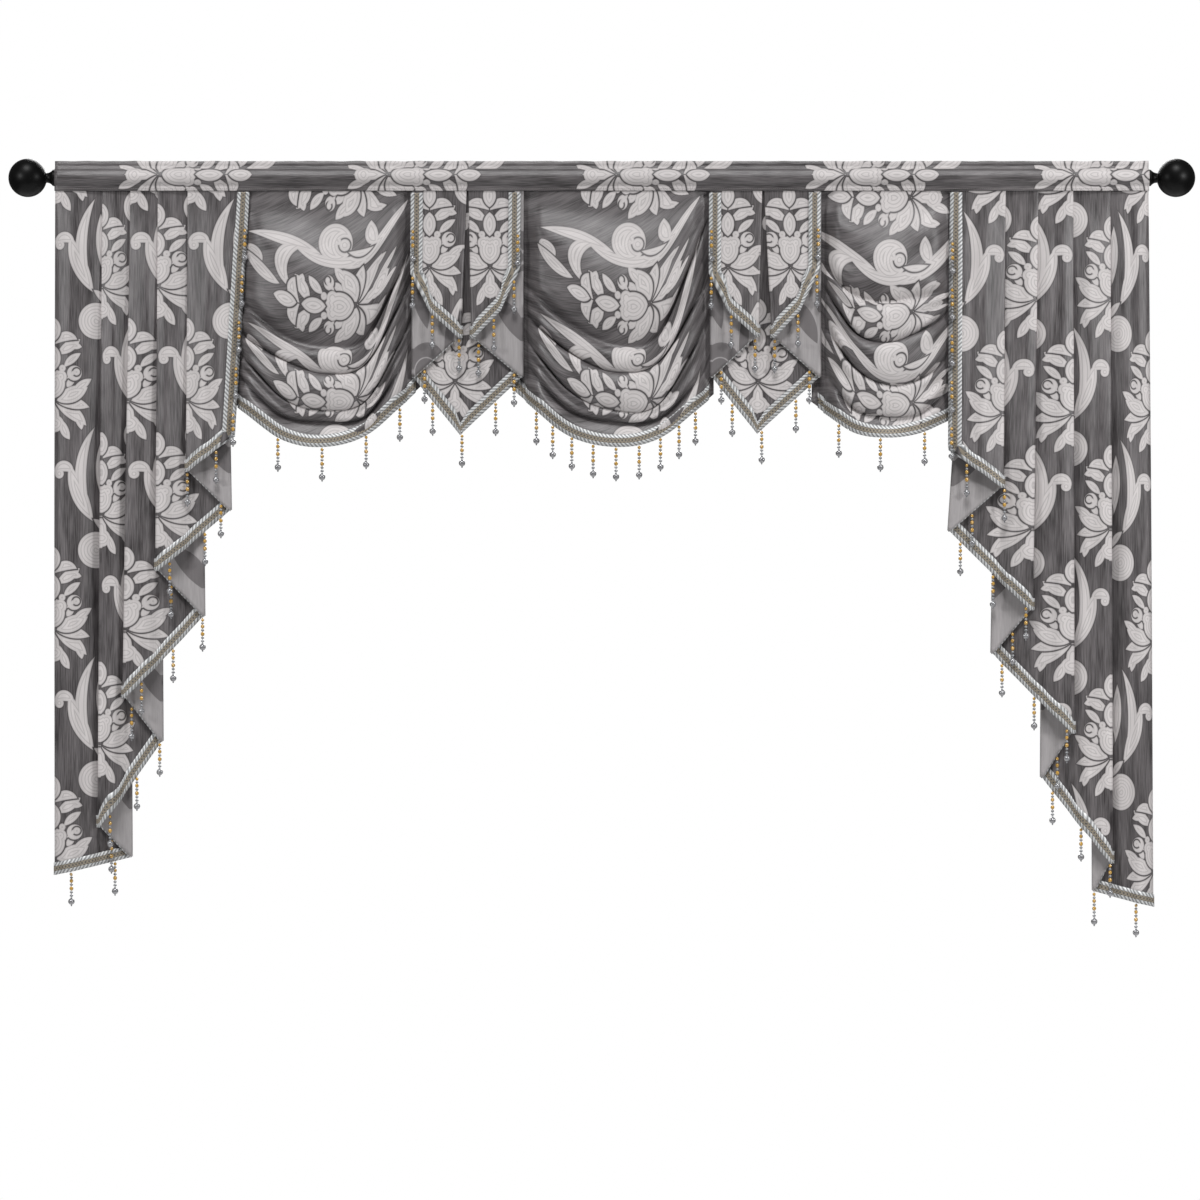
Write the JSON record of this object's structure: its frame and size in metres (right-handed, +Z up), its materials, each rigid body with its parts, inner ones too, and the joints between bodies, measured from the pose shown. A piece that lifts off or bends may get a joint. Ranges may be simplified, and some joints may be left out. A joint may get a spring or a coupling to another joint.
{
  "type": "swag and tail drape on a rod",
  "caption": "Fixed window top treatment: draped swags, pleated jabots and folded tails in damask, with braid and bead drops, on a rod with ball ends.",
  "frame": {"origin": "middle of the rod's axis, where the wall's brackets would hold it", "axes": "+X along the rod to the right as seen from the room, +Y towards the wall behind, +Z up"},
  "size_m": [1.951, 0.0867, 1.2786],
  "materials": {
    "damask": "woven damask, dark grey satin ground with pale silver-beige leaves and flowers",
    "braid": "flat braid, silver-grey cord edges and a gold zigzag",
    "beads": "small pewter and amber beads with a pearly end bead",
    "black_metal": "gloss black lacquer"
  },
  "bodies": {
    "root": {"rod": "black_metal", "finial_left": "black_metal", "finial_right": "black_metal", "heading": "damask", "tail_left": "damask", "tail_right": "damask", "swag_left": "damask", "swag_centre": "damask", "swag_right": "damask", "jabot_left": "damask", "jabot_right": "damask", "tail_left_braid": "braid", "tail_right_braid": "braid", "swag_left_braid": "braid", "swag_centre_braid": "braid", "swag_right_braid": "braid", "jabot_left_braid": "braid", "jabot_right_braid": "braid"}
  },
  "joints": []
}
